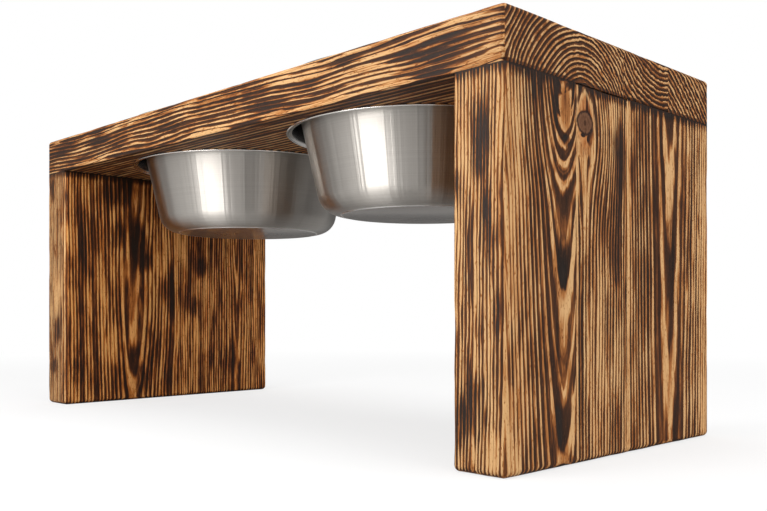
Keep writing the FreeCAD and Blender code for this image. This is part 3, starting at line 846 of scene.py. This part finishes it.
@dataclass
class Stave:
    """One glued stave: its node in the frame, its finish, and the roundings of its edges, in metres."""

    node: str
    finish: TorchedPine
    board_low: Vector
    board_high: Vector
    joint_height: float
    outline: Callable[[], bmesh.types.BMesh] | None = None
    hole_radius: float = 0.0
    hole_offset: float = 0.0
    edge_round: float = 4.0 * MM
    joint_round: float = 1.6 * MM
    hole_round: float = 1.5 * MM
    seam_round: float = 0.35 * MM
    wear: float = 0.7 * MM
    wear_grain: Pair = (42.0, 150.0)
    part_length: float = 9.0 * MM
    hair: float = 0.01 * MM

    def __post_init__(self) -> None:
        """Reads the stave's corners and glue lines from the frame."""
        self.low, self.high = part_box(self.node)
        self.seams = [plane for plane in (self.low.y, self.high.y)
                      if self.board_low.y + self.hair < plane < self.board_high.y - self.hair]

    def block(self) -> bmesh.types.BMesh:
        """The stave as a plain block in its place.

        Returns:
            The block.
        """
        low, high = self.low, self.high
        place = Matrix.Translation((low + high) / 2) @ Matrix.Diagonal(high - low).to_4x4()
        shape = bmesh.new()
        bmesh.ops.create_cube(shape, size=1.0)
        bmesh.ops.transform(shape, verts=shape.verts[:], matrix=place)
        return shape

    def on_plane(self, edge: bmesh.types.BMEdge, axis: int, plane: float) -> bool:
        """Whether both ends of an edge lie on a plane across an axis."""
        return all(abs(vert.co[axis] - plane) < self.hair for vert in edge.verts)

    def is_outer(self, edge: bmesh.types.BMEdge) -> bool:
        """Whether two outer faces of the whole board meet at an edge."""
        planes = [(axis, end[axis]) for axis in range(3) for end in (self.board_low, self.board_high)]
        return sum(self.on_plane(edge, axis, plane) for axis, plane in planes) == 2

    def is_joint(self, edge: bmesh.types.BMEdge) -> bool:
        """Whether an edge lies where the top and a side meet."""
        return self.on_plane(edge, 2, self.joint_height)

    def is_hole(self, edge: bmesh.types.BMEdge) -> bool:
        """Whether an edge runs round a bowl's hole at the top or the underside.

        Args:
            edge: The edge.

        Returns:
            True where it does.
        """
        if not self.hole_radius or abs(edge.verts[0].co.z - edge.verts[1].co.z) > self.hair:
            return False
        ends = [[math.hypot(vert.co.x - x, vert.co.y) for vert in edge.verts]
                for x in (-self.hole_offset, self.hole_offset)]
        return any(all(abs(reach - self.hole_radius) < self.hair for reach in pair) for pair in ends)

    def is_seam(self, edge: bmesh.types.BMEdge) -> bool:
        """Whether an edge lies on a glue line."""
        return any(self.on_plane(edge, 1, plane) for plane in self.seams)

    def build(self) -> bpy.types.Object:
        """Models the stave: rounded outer edges with slight wear, eased hole edges and fine seams.

        Returns:
            The finished piece, which rides on the stand in place of its node.
        """
        shape = self.outline() if self.outline else self.block()
        for edge in [edge for edge in shape.edges if self.is_outer(edge)]:
            cuts = int(edge.calc_length() / self.part_length)
            if cuts:
                bmesh.ops.subdivide_edges(shape, edges=[edge], cuts=cuts)
        rounded = self.bevel(shape, lambda edge: self.is_outer(edge) and not self.is_joint(edge),
                             self.edge_round, 5)
        rounded += self.bevel(shape, lambda edge: self.is_outer(edge) and self.is_joint(edge),
                              self.joint_round, 3)
        self.bevel(shape, self.is_hole, self.hole_round, 3)
        self.wear_down(rounded)
        self.bevel(shape, self.is_seam, self.seam_round, 1)
        piece = new_piece(f"{self.node}_worn", shape, self.finish.material(), smooth=False)
        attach(piece, STAND)
        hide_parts(self.node)
        return piece

    def bevel(self, shape: bmesh.types.BMesh, test: Callable[[bmesh.types.BMEdge], bool], offset: float,
              parts: int) -> list[bmesh.types.BMFace]:
        """Rounds the edges that pass a test.

        Args:
            shape: The stave's mesh.
            test: Which edges are rounded.
            offset: How far the rounding reaches.
            parts: How many faces it has across.

        Returns:
            The faces of the rounding.
        """
        edges = [edge for edge in shape.edges if test(edge)]
        if not edges:
            return []
        made = bmesh.ops.bevel(shape, geom=edges, offset=offset, offset_type="OFFSET", affect="EDGES",
                               segments=parts, profile=0.5, material=-1, clamp_overlap=True)
        for face in made["faces"]:
            face.smooth = True
        return made["faces"]

    def wear_down(self, faces: Iterable[bmesh.types.BMFace]) -> None:
        """Takes a little off the roundings, here more and there less.

        Args:
            faces: The faces of the roundings.
        """
        rounded = {face for face in faces if face.is_valid}
        inner = {vert for face in rounded for vert in face.verts
                 if all(near in rounded for near in vert.link_faces)}
        for vert in inner:
            vert.normal_update()
        for vert in inner:
            coarse, fine = (noise.noise(vert.co * scale) for scale in self.wear_grain)
            vert.co -= vert.normal * self.wear * max(0.0, coarse + 0.4 * fine)


@dataclass
class TopBoard:
    """The top, glued from three staves, with two round holes, in metres."""

    hole_radius: float = 111.4 * MM
    hole_offset: float = 123.75 * MM
    arc_steps: int = 72

    def __post_init__(self) -> None:
        """Reads where the staves meet from the frame."""
        self.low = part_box("top_front_stave")[0]
        self.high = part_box("top_rear_stave")[1]
        self.seams = (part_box("top_front_stave")[1].y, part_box("top_rear_stave")[0].y)

    def half(self, seam: float) -> float:
        """Half the width of a hole where a glue line crosses it."""
        return math.sqrt(self.hole_radius ** 2 - seam ** 2)

    def rise(self, seam: float) -> float:
        """The angle of a glue line's meeting with a hole, seen from the hole's middle."""
        return math.asin(seam / self.hole_radius)

    def sweep(self, pen: Pen, side: int, angle: float) -> Pen:
        """Follows a hole's edge clockwise by an angle."""
        steps = max(2, round(self.arc_steps * angle / math.pi))
        return pen.arc((side * self.hole_offset, 0.0), UPRIGHT, -angle, steps)

    def front_outline(self) -> bmesh.types.BMesh:
        """The front stave, with the front of both holes cut out of it.

        Returns:
            The stave as a plate in its place.
        """
        seam, off = self.seams[0], self.hole_offset
        half, turn = self.half(seam), math.pi + 2.0 * self.rise(seam)
        pen = Pen(self.low.x, self.low.y).line(self.high.x, self.low.y)
        pen.line(self.high.x, seam).line(off + half, seam)
        self.sweep(pen, 1, turn).line(-off + half, seam)
        self.sweep(pen, -1, turn).line(self.low.x, seam)
        return pen.plate(self.low.z, self.high.z)

    def rear_outline(self) -> bmesh.types.BMesh:
        """The rear stave, with the back of both holes cut out of it.

        Returns:
            The stave as a plate in its place.
        """
        seam, off = self.seams[1], self.hole_offset
        half, turn = self.half(seam), math.pi - 2.0 * self.rise(seam)
        pen = Pen(self.low.x, seam).line(-off - half, seam)
        self.sweep(pen, -1, turn).line(off - half, seam)
        self.sweep(pen, 1, turn).line(self.high.x, seam)
        pen.line(self.high.x, self.high.y).line(self.low.x, self.high.y)
        return pen.plate(self.low.z, self.high.z)

    def left_outline(self) -> bmesh.types.BMesh:
        """The middle stave's end, left of both holes.

        Returns:
            The stave as a plate in its place.
        """
        first, second = self.seams
        pen = Pen(self.low.x, first).line(-self.hole_offset - self.half(first), first)
        self.sweep(pen, -1, self.rise(second) - self.rise(first)).line(self.low.x, second)
        return pen.plate(self.low.z, self.high.z)

    def right_outline(self) -> bmesh.types.BMesh:
        """The middle stave's end, right of both holes.

        Returns:
            The stave as a plate in its place.
        """
        first, second = self.seams
        pen = Pen(self.high.x, first).line(self.high.x, second)
        pen.line(self.hole_offset + self.half(second), second)
        self.sweep(pen, 1, self.rise(second) - self.rise(first))
        return pen.plate(self.low.z, self.high.z)

    def centre_outline(self) -> bmesh.types.BMesh:
        """The middle stave's piece between the holes.

        Returns:
            The stave as a plate in its place.
        """
        first, second = self.seams
        turn = self.rise(second) - self.rise(first)
        pen = Pen(-self.hole_offset + self.half(first), first)
        pen.line(self.hole_offset - self.half(first), first)
        self.sweep(pen, 1, turn).line(-self.hole_offset + self.half(second), second)
        self.sweep(pen, -1, turn)
        return pen.plate(self.low.z, self.high.z)

    def finishes(self) -> dict[str, TorchedPine]:
        """Works out how each stave of the top was cut and torched.

        Returns:
            The finish of each stave by its node's name.
        """
        under = (246.3, 245.5)
        ends = ((306.2, 306.9), (-306.2, -306.9))
        # The joint line at the top's lower edge: burnt, with painted shade of the groove
        gap = Scorch((0.0, 0.0, 245.0), (FAR, FAR, 2.4), 0.8)
        back = Grain(Rings((131.0, -500.0), 3.4, wander=0.8), burn=0.64, dashes=0.27, ground=0.32, uneven=1.6,
                     bands=0.7, softness=0.24, thin=0.13, ramp=0.18)

        def stave(name: str, seed: Triple, rings: Rings, front: Grain | None = None) -> TorchedPine:
            """One stave of the top from its rings as they show at its ends.

            Args:
                name: The finish's name.
                seed: Which stretch of the noises it has.
                rings: Its rings.
                front: The grain of its front edge, where it has one.

            Returns:
                The stave's finish.
            """
            below = Grain(Rings((-640.0, 245.0), 6.5, wander=0.35), burn=0.68, blotch=0.16,
                          ground=0.2, uneven=1.2)
            cut = Grain(rings, burn=0.68, blotch=0.2, dashes=0.14, ground=0.3, floor=-0.04, softness=0.16,
                        uneven=0.8, strands=0.8, thin=0.22, ramp=0.5, scorches=(gap,))
            facings = [Facing(2, *under, below), Facing(1, *BACK_PLANE, back)]
            if front:
                facings.append(Facing(1, *FRONT_PLANE, front))
            facings += [Facing(0, *end, cut) for end in ends]
            return TorchedPine(name, Along.LENGTH, Grain(rings, burn=0.62), tuple(facings), seed=seed)

        pale = (
            (-217, 246.5, 38, 4.5, -1), (-2, 246, 34, 4.5, -1), (92, 246.5, 24, 4.5, -1),
            (144, 246, 34, 4.8, -1), (215, 247, 25, 4.5, -1), (286, 247, 26, 5, -1),
            (-290, 279, 28, 4, -0.9), (-111, 279, 38, 4, -0.9), (-28, 279, 28, 4, -0.9),
            (112, 279.5, 58, 4, -0.9), (225, 280, 34, 3.5, -0.9), (288, 279, 32, 4, -0.9),
            (187, 263, 26, 3.2, -0.6), (233, 255, 22, 3.5, -0.6), (304, 258, 14, 4, -0.5),
            (304, 250, 16, 5, -0.6), (-130, 266, 7, 11, -0.25), (43, 266, 7, 10, -0.25))
        # The last patch darkens the whole far half of the front face a little
        dark = (
            (-274, 264, 22, 5, 0.3), (-193, 265, 32, 6, 0.35), (-60, 260, 28, 5, 0.3), (67, 257, 28, 4, 0.3),
            (172, 272, 24, 5, 0.4), (228, 264, 20, 4, 0.3), (256, 259, 28, 5, 0.5), (261, 268, 28, 3.5, 0.4),
            (251, 247, 22, 4, 0.5), (-190, 263, 190, 400, 0.12))
        pale_stain = 0.14
        front = Grain(
            Rings((-131.0, -500.0), 3.7, wander=0.8), burn=0.64, blotch=0.24, dashes=0.25, ground=0.32,
            uneven=1.45, bands=0.6, softness=0.24, strands=1.0, thin=0.16, ramp=0.18,
            scorches=on_edge(*((*patch, pale_stain) for patch in pale), *dark))
        arcs = Rings((-48.0, 216.0), 3.3, lean=0.01, wander=0.3)
        bowl_shaped = Rings((54.0, 320.0), 3.7, lean=-0.006, wander=0.3)
        steep = Rings((-202.0, -95.0), 4.2, wander=0.06)
        finishes = {"top_front_stave": stave("torched_pine_top_front", (3.1, 0.7, 5.2), arcs, front)}
        for place in ("left", "centre", "right"):
            finishes[f"top_middle_{place}_stave"] = stave(
                f"torched_pine_top_middle_{place}", (8.3, 2.9, 1.4), bowl_shaped)
        finishes["top_rear_stave"] = stave("torched_pine_top_rear", (1.7, 6.1, 9.5), steep)
        return finishes

    def build(self) -> list[bpy.types.Object]:
        """Models the five pieces of the top.

        Returns:
            The finished pieces.
        """
        outlines = {
            "top_front_stave": self.front_outline, "top_middle_left_stave": self.left_outline,
            "top_middle_centre_stave": self.centre_outline, "top_middle_right_stave": self.right_outline,
            "top_rear_stave": self.rear_outline}
        finishes = self.finishes()
        return [Stave(node, finishes[node], self.low, self.high, self.low.z, outline, self.hole_radius,
                      self.hole_offset).build() for node, outline in outlines.items()]


class Side(Enum):
    """The two ends of the stand, by their sign along X."""

    LEFT = -1
    RIGHT = 1

    @property
    def word(self) -> str:
        """The side's name as the frame's nodes use it."""
        return self.name.lower()


# A side board's darker ends: a band just below the top, and the joint and foot lines, burnt and with painted
# shade
BOARD_ENDS = on_face((0, 246.5, FAR, 9, 0.5), (0, 245.4, FAR, 2.2, 0.8), (0, -1, FAR, 3.5, 0.5))


@dataclass
class SideBoard:
    """A standing board at one end of the stand, glued from three staves."""

    side: Side

    def __post_init__(self) -> None:
        """Reads the whole board's corners from the frame."""
        self.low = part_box(f"{self.side.word}_side_front_stave")[0]
        self.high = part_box(f"{self.side.word}_side_rear_stave")[1]

    def stave(self, place: str, grain: Grain, seed: Triple, **rest: Any) -> TorchedPine:
        """The finish of one of the board's staves."""
        return TorchedPine(f"torched_pine_{self.side.word}_{place}", Along.HEIGHT, grain, seed=seed, **rest)

    def right_finishes(self) -> dict[str, TorchedPine]:
        """The right board's staves: a cathedral in front, a knot in the middle, a second cathedral behind.

        Returns:
            The finish of each stave by its place.
        """
        edge = Grain(
            Rings((-131.0, -433.0), 2.7, lean=0.01, wander=0.25), burn=0.52, dashes=0.34, ground=0.44,
            uneven=1.4, scorches=BOARD_ENDS + on_edge(
                (289, 200, 9, 36, 0.5), (293, 150, 8, 28, 0.4), (302, 97, 4, 20, 0.5),
                (286, 40, 13, 26, 0.55), (273, 30, 8, 22, 0.5), (271, 173, 4, 17, 0.35),
                (275, 204, 7, 26, -0.3), (302, 170, 6, 50, -0.4), (299, 14, 9, 15, -0.4),
                (271, 108, 5, 32, -0.3)))
        back = Grain(Rings((131.0, -433.0), 2.7, wander=0.25), burn=0.56, dashes=0.26, ground=0.46,
                     scorches=BOARD_ENDS)
        front = Grain(
            Rings((-71.0, 268.98), 3.1, 0.06, 172.0, 0.18, phase=0.637, wander=0.1, point=0.05, jog=1.0),
            burn=0.62, scorches=BOARD_ENDS + on_face(
                (-131, 0, 24, FAR, -0.45), (-72, 125, 11, 26, 0.5), (-72, 76, 10, 26, -0.45, 0.3),
                (-77, 24, 7, 20, 0.55), (-68.5, 227.5, 7.8, 19, -1.7, 0.4), (-60.5, 28, 2, 27, -1.4),
                (-124, 68, 4, 28, 0.5), (-95, 190, 10, 60, 0.15), (-80, 228, 4.5, 20, 0.7),
                (-108, 238, 20, 24, 0.4), (-60, 238, 2.6, 10, 0.7), (-68, 206.5, 6, 5, 0.8)))
        middle = Grain(
            Rings((-420.0, 287.0), 3.7, phase=0.39, wander=0.2), burn=0.62, scorches=BOARD_ENDS + on_face(
                (-46, 226, 12, 20, -0.6, 0.25), (-48, 203, 14, 7, -0.7, 0.1),
                (-46.5, 187, 9, 28, -0.5, 0.12), (-45, 158, 5, 32, -0.5), (-14, 230, 11, 13, -0.35),
                (-4, 200, 9, 38, 0.5), (-10, 150, 11, 42, 0.35), (-55.4, 110, 1.5, FAR, -0.9),
                (-51, 70, 4, 90, 0.35), (-33, 60, 18, 72, -0.25), (-48.5, 212.5, 3.6, 1.8, 1.6),
                (-43, 210.5, 1.5, 2.8, 1.7), (-39, 205, 5, 13, -0.9, 0.12)))
        rear = Grain(
            Rings((67.5, 268.1), 3.3, 0.02, phase=0.34, wander=0.12, point=0.04, jog=1.8), burn=0.6,
            scorches=BOARD_ENDS + on_face(
                (8, 100, 3.2, FAR, -0.9), (28, 150, 17, 110, 0.22), (131, 0, 24, FAR, -0.45),
                (66, 215, 8, 26, -0.25), (70, 135, 6, 50, 0.45), (60, 60, 7, 80, -0.35)))
        knot = Knot((-46.4, 220.7), (8.8, 7.4), (12.6, 22.0))
        return {
            "front": self.stave("front", front, (5.3, 1.9, 2.2), facings=(Facing(1, *FRONT_PLANE, edge),),
                                swirls=(Swirl((-68.5, 226.0), (9.0, 24.0), 0.6),)),
            "middle": self.stave("middle", middle, (9.4, 3.3, 6.8), knot=knot,
                                 swirls=(Swirl((-46.4, 214.0), (25.0, 40.0)),)),
            "rear": self.stave("rear", rear, (2.6, 7.7, 4.1), facings=(Facing(1, *BACK_PLANE, back),)),
        }

    def left_finishes(self) -> dict[str, TorchedPine]:
        """The left board's staves, torched more unevenly; the front two are cut from one plank. Their broad
        faces take a shaded copy of the colours as painted shade, their front and back edges the plain
        colours.

        Returns:
            The finish of each stave by its place.
        """
        edge = Grain(
            Rings((-131.0, -1000.0), 3.4, wander=0.3), burn=0.52, blotch=0.34, dashes=0.34, ground=0.48,
            scorches=BOARD_ENDS + on_edge(
                (-295, 228, 10, 18, 0.5), (-285, 78, 10, 22, 0.5), (-290, 40, 9, 11, 0.4),
                (-287, 125, 9, 36, -0.4)))
        back = Grain(Rings((131.0, -1000.0), 2.8, wander=0.3), burn=0.5, dashes=0.3, ground=0.5,
                     scorches=BOARD_ENDS)
        hanging = Grain(
            Rings((-51.0, -291.6), 3.6, 0.1, 60.0, -0.08, 15.0, 0.12, 0.3, limit=60.0, jog=2.0),
            burn=0.61, blotch=0.3, dashes=0.3, ground=0.54, uneven=1.7, bands=0.45, softness=0.5, frayed=1.0,
            strands=0.8, scorches=BOARD_ENDS + on_face(
                (-46, 172, 13, 34, 0.5), (-64.5, 120, 2.2, 60, -0.5), (-6, 119, 10, 38, 0.42),
                (33, 149, 12, 15, 0.42), (27, 104, 9, 16, 0.34), (-109, 170, 9, 52, 0.28),
                (-70, 184, 9, 20, 0.32), (77, 41, 10, 28, 0.42), (-43, 23, 12, 22, 0.5),
                (-118, 33, 10, 20, 0.4), (-70, 228, 26, 22, 0.36), (-35, 153, 10, 14, 0.36),
                (-17, 152, 12, 24, -0.35), (-50, 69, 9, 26, -0.3), (-78, 59, 10, 28, -0.3),
                (8, 80, 12, 28, -0.25), (5, 169, 10, 22, -0.3), (-92, 126, 9, 32, -0.25)))
        rear = replace(hanging, rings=Rings((85.0, -279.1), 3.2, 0.06, wander=0.4, limit=9.0))
        # Broad faces take the shaded copy of the colours as painted shade; front and back edges keep the
        # plain ones
        return {
            "front": self.stave("front", hanging, (7.2, 4.4, 0.9), colours=SHADED_PINE,
                                facings=(Facing(1, *FRONT_PLANE, edge, PineColours()),)),
            "middle": self.stave("middle", hanging, (7.2, 4.4, 0.9), colours=SHADED_PINE),
            "rear": self.stave("rear", rear, (6.5, 2.2, 8.7), colours=SHADED_PINE,
                               facings=(Facing(1, *BACK_PLANE, back, PineColours()),)),
        }

    def build(self) -> list[bpy.types.Object]:
        """Models the board's three staves.

        Returns:
            The finished pieces.
        """
        finishes = self.right_finishes() if self.side is Side.RIGHT else self.left_finishes()
        board = f"{self.side.word}_side"
        return [Stave(f"{board}_{place}_stave", finish, self.low, self.high, self.high.z).build()
                for place, finish in finishes.items()]


@dataclass
class Dowels:
    """The row of glued dowels between the top and one side, which keep their shape from the frame."""

    side: Side

    def build(self) -> bpy.types.Object:
        """Gives the row its beech.

        Returns:
            The row's own node.
        """
        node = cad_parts[f"{self.side.word}_dowels"]
        node.data.materials.clear()
        node.data.materials.append(Beech(f"turned_beech_{self.side.word}").material())
        return node


@dataclass
class Bowl:
    """A spun steel bowl with a beaded rim and a pressed base, in metres."""

    side: Side
    mouth: float = 109.0 * MM
    rim_width: float = 11.0 * MM
    height: float = 107.0 * MM
    lean: float = 23.0 * MM
    wall: float = 0.8 * MM
    corner: float = 19.0 * MM
    shoulder: float = 3.5 * MM
    bead: float = 2.2 * MM
    base_step: float = 0.6 * MM
    seat: float = 0.3 * MM
    turn_steps: int = 144

    def wall_normal(self) -> Vector:
        """The way that the leaning wall faces, in its section."""
        fall = self.height - self.seat - 2.0 * self.bead
        return Vector((fall, 0.0, -self.lean)).normalized()

    def base_radius(self) -> float:
        """The radius of the base as far as its rounded corner."""
        normal = self.wall_normal()
        return self.mouth - self.lean - self.corner * (1.0 + normal.z) / normal.x - self.base_step

    def section(self, axis: float, top: float) -> Pen:
        """Draws half the bowl's section from the axis under the base round the rim and back to the axis.

        Args:
            axis: The bowl's axis along X.
            top: The height of its rim.

        Returns:
            The pen at the end of the line.
        """
        floor, under = top - self.height, top - self.wall
        base = self.mouth - self.lean
        normal = self.wall_normal()
        out, lift = normal.x, normal.z
        tilt = math.atan2(lift, out)
        disc = axis + self.base_radius()
        low = Vector((disc + self.base_step, 0.0, floor + self.base_step + self.corner))
        neck = under - self.shoulder
        high = Vector((axis + base + (self.shoulder - lift * (neck - floor)) / out, 0.0, neck))
        bead = Vector((axis + self.mouth + self.rim_width - self.bead, 0.0, top - self.bead))
        joint = math.pi - math.asin((self.bead - self.wall) / self.bead)
        turn = math.pi / 2.0 + tilt
        back = (0.0, -1.0, 0.0)
        pen = Pen(axis, 0.0, floor).line(disc - self.base_step, 0.0, floor)
        pen.line(disc - 0.4 * self.base_step, 0.0, floor + 0.2 * self.base_step)
        pen.line(disc, 0.0, floor + self.base_step).line(low.x, 0.0, floor + self.base_step)
        pen.arc(low, back, turn, 14)
        pen.line(*(high - self.shoulder * normal)).arc(high, back, -turn, 5)
        pen.line(bead.x + self.bead * math.cos(joint), 0.0, under)
        pen.arc(bead, back, 2.5 * math.pi - joint, 16)
        pen.line(high.x, 0.0, top).arc(high, back, turn, 6)
        pen.line(*(low + (self.corner - self.wall) * normal)).arc(low, back, -turn, 12)
        pen.line(disc, 0.0, floor + self.base_step + self.wall)
        pen.line(disc - self.base_step, 0.0, floor + self.wall)
        return pen.line(axis, 0.0, floor + self.wall)

    def build(self) -> bpy.types.Object:
        """Models the bowl in one full turn.

        Returns:
            The finished piece, which rides on its own body and lifts out.
        """
        node = f"{self.side.word}_bowl"
        low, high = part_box(node)
        axis = (low.x + high.x) / 2.0
        shape = self.section(axis, high.z).turned((axis, 0.0), self.turn_steps)
        finish = BrushedSteel(f"brushed_steel_{self.side.word}_bowl", (axis / MM, 0.0),
                              self.base_radius() / MM)
        piece = new_piece(f"{node}_spun", shape, finish.material(), smooth=True)
        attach(piece, node)
        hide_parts(node)
        return piece


@dataclass
class HoleLiner:
    """A pressed steel collar in a hole, with a rolled lip against the underside, in metres."""

    side: Side
    inner: float = 110.5 * MM
    wall: float = 0.8 * MM
    lip: float = 4.0 * MM
    bead: float = 0.9 * MM
    lead: float = 0.3 * MM
    turn_steps: int = 144

    def build(self) -> bpy.types.Object:
        """Models the collar in one full turn.

        Returns:
            The finished piece, which rides on the stand.
        """
        node = f"{self.side.word}_hole_liner"
        low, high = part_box(node)
        axis = (low.x + high.x) / 2.0
        board = low.z + 2.0 * self.bead
        inside, outside = axis + self.inner, axis + self.inner + self.wall
        bead = Vector((outside + self.lip - self.bead, 0.0, board - self.bead))
        back = (0.0, -1.0, 0.0)
        pen = Pen(inside + self.lead, 0.0, high.z).line(inside, 0.0, high.z - self.lead)
        pen.line(inside, 0.0, board - self.wall + self.lead).line(inside + self.lead, 0.0, board - self.wall)
        pen.line(bead.x - self.bead, 0.0, board - self.wall).arc(bead, back, 1.5 * math.pi, 12)
        pen.line(outside + self.lead, 0.0, board).line(outside, 0.0, board + self.lead)
        pen.line(outside, 0.0, high.z - self.lead).line(outside - self.lead, 0.0, high.z).close()
        shape = pen.turned((axis, 0.0), self.turn_steps)
        # The collar's inner face takes painted shade
        finish = BrushedSteel(f"brushed_steel_{self.side.word}_liner", (axis / MM, 0.0), roughness=0.2,
                              rippled=0.0, colour=(236, 232, 226), shade=(214, 209, 203),
                              haze_shares=(0.05, 0.0, 0.0), painted_shade_inside=(self.inner + 0.4 * self.wall) / MM)
        piece = new_piece(f"{node}_rolled", shape, finish.material(), smooth=True)
        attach(piece, STAND)
        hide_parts(node)
        return piece


# Studio

@dataclass(frozen=True)
class SoftBox:
    """A soft lamp: where it stands, what it is turned to, its width and height, and its power in watts."""

    name: str
    place: Triple
    target: Triple
    size: Pair
    power: float

    def build(self) -> bpy.types.Object:
        """Sets up the lamp, out of the camera's sight.

        Returns:
            The lamp.
        """
        lamp = bpy.data.lights.new(self.name, "AREA")
        lamp.shape, lamp.size, lamp.size_y = "RECTANGLE", *self.size
        lamp.energy = self.power
        stand = bpy.data.objects.new(self.name, lamp)
        stand.location = self.place
        stand.rotation_euler = (Vector(self.target) - Vector(self.place)).to_track_quat("-Z", "Y").to_euler()
        stand.visible_camera = False
        bpy.context.scene.collection.objects.link(stand)
        return stand


@dataclass(frozen=True)
class Screen:
    """A paler or darker part of the room as the steel mirrors it.

    Its bearing, half width and soft edge are in degrees.
    """

    bearing: float
    half: float
    edge: float
    level: float


@dataclass
class Studio:
    """A plain white studio: pale floor, soft lamps, white surroundings and the camera, in metres."""

    floor_size: float = 12.0
    floor_shade: float = 0.32
    floor_fades: Pair = (0.5, 1.4)
    room_light: float = 0.42
    room_mirrored: float = 0.36
    # How dark the floor near the stand shows in the steel, as painted shadow, and where that fades out
    near_mirrored: float = 0.5
    near_fades: Pair = (0.2, 0.6)
    screens: tuple[Screen, ...] = (
        Screen(-122.0, 14.0, 14.0, 0.75), Screen(-92.0, 12.0, 18.0, 1.0), Screen(-58.0, 11.0, 6.0, 0.62),
        Screen(-39.0, 3.0, 4.0, 0.0), Screen(-24.0, 4.0, 4.0, 0.9), Screen(34.0, 30.0, 12.0, 0.02),
        Screen(72.0, 8.0, 10.0, 0.15), Screen(135.0, 34.0, 16.0, 0.14))
    lamps: tuple[SoftBox, ...] = (
        SoftBox("front_soft_box", (0.03, -0.75, 0.39), (0.0, 0.0, 0.22), (0.5, 0.7), 2.6),
        SoftBox("front_lamp", (0.035, -0.76, 0.39), (0.0, 0.0, 0.22), (0.34, 0.5), 1.9),
        SoftBox("right_soft_box", (1.9, 0.15, 0.75), (0.2, 0.0, 0.14), (1.6, 1.3), 19.0),
        SoftBox("overhead_soft_box", (0.0, 0.1, 2.2), (0.0, 0.0, 0.0), (2.4, 1.8), 22.0),
    )
    camera_place: Triple = (0.62413, -0.54323, 0.09932)
    camera_turn: float = 45.395
    camera_lens: float = 41.512
    camera_sensor: float = 36.0
    camera_shift: Pair = (0.001, 0.0708)

    def mirrored(self, nodes: Nodes, x: Value, y: Value) -> Value:
        """How light the room shows in the steel, by the bearing of a place or a direction.

        Args:
            nodes: The nodes of the floor or the room.
            x, y: The place or the direction.

        Returns:
            The light's level.
        """
        bearing = nodes.maths("ARCTAN2", y, x) * math.degrees(1.0)
        level = self.room_mirrored
        for screen in self.screens:
            off = nodes.maths("ABSOLUTE", bearing - screen.bearing)
            level = level + (screen.level - level) * nodes.step(off, screen.half + screen.edge, screen.half)
        return level

    @staticmethod
    def rays(nodes: Nodes) -> tuple[Value, Value]:
        """Which rays come from the camera or through glass, and which come off a gloss.

        Args:
            nodes: The nodes of the floor or the room.

        Returns:
            The two shares, each 0 or 1.
        """
        path = nodes.node("ShaderNodeLightPath").outputs
        straight, through = Value(nodes, path["Is Camera Ray"]), Value(nodes, path["Is Transmission Ray"])
        return nodes.maths("MAXIMUM", straight, through), Value(nodes, path["Is Glossy Ray"])

    def floor(self) -> bpy.types.Object:
        """A pale floor that keeps the stand's shadow and runs out into white; in the steel it shows a painted
        shadow near the stand.

        Returns:
            The floor.
        """
        material, nodes = new_material("studio_floor")
        x, y, _ = nodes.split(nodes.node("ShaderNodeTexCoord").outputs["Object"])
        reach = nodes.maths("SQRT", x * x + y * y)
        shade = (1.0 - nodes.step(reach, *self.floor_fades)) * self.floor_shade
        matt = nodes.node("ShaderNodeBsdfDiffuse", None, {
            "Color": nodes.node("ShaderNodeCombineColor", None, {0: shade, 1: shade, 2: shade}).outputs[0]})
        seen, glossy = self.rays(nodes)
        # Painted shadow: the floor near the stand shows darker in the steel
        painted_shadow_level = self.near_mirrored + nodes.step(reach, *self.near_fades) * (1.0 - self.near_mirrored)
        seen = nodes.maths("MAXIMUM", seen, glossy * self.mirrored(nodes, x, y) * painted_shadow_level)
        glow = nodes.node("ShaderNodeEmission", None, {"Strength": seen * (1.0 - shade)})
        both = nodes.node("ShaderNodeAddShader", None, {0: matt.outputs[0], 1: glow.outputs[0]})
        nodes.surface(both.outputs[0])
        shape = bmesh.new()
        bmesh.ops.create_grid(shape, x_segments=2, y_segments=2, size=self.floor_size / 2.0)
        ground = new_piece("studio_floor", shape, material, smooth=False)
        return ground

    def surroundings(self) -> None:
        """White to the camera, paler and darker screens in the steel, and a soft even light on the stand."""
        world = bpy.data.worlds.new("studio_room")
        world.use_nodes = True
        nodes = Nodes(world.node_tree)
        seen, glossy = self.rays(nodes)
        x, y, _ = nodes.split(nodes.node("ShaderNodeTexCoord").outputs["Generated"])
        room = self.room_light + (self.mirrored(nodes, x, y) - self.room_light) * glossy
        strength = room + (1.0 - room) * seen
        glow = nodes.node("ShaderNodeBackground", None, {"Color": (1.0, 1.0, 1.0, 1.0), "Strength": strength})
        nodes.node("ShaderNodeOutputWorld", None, {0: glow.outputs[0]})
        bpy.context.scene.world = world

    def camera(self) -> bpy.types.Object:
        """The camera, low and in front of the right end, with its uprights kept straight.

        Returns:
            The camera.
        """
        lens = bpy.data.cameras.new("camera")
        lens.lens, lens.sensor_width = self.camera_lens, self.camera_sensor
        lens.shift_x, lens.shift_y = self.camera_shift
        lens.clip_start = 0.01
        camera = bpy.data.objects.new("camera", lens)
        camera.location = self.camera_place
        camera.rotation_euler = (math.pi / 2.0, 0.0, math.radians(self.camera_turn))
        bpy.context.scene.collection.objects.link(camera)
        bpy.context.scene.camera = camera
        return camera

    def build(self) -> None:
        """Sets up floor, surroundings, lamps and camera."""
        bpy.context.scene.view_settings.view_transform = "Standard"
        self.floor()
        self.surroundings()
        for lamp in self.lamps:
            lamp.build()
        self.camera()


def main() -> None:
    """Builds the stand, its bowls and the studio in order."""
    logging.basicConfig(level=logging.INFO, format="%(name)s: %(message)s")
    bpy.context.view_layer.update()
    pieces = TopBoard().build()
    for side in Side:
        pieces += SideBoard(side).build()
        pieces += [Dowels(side).build(), HoleLiner(side).build(), Bowl(side).build()]
    for piece in pieces:
        log.info("%s: %d faces", piece.name, len(piece.data.polygons))
    Studio().build()


if __name__ == "__main__":
    main()
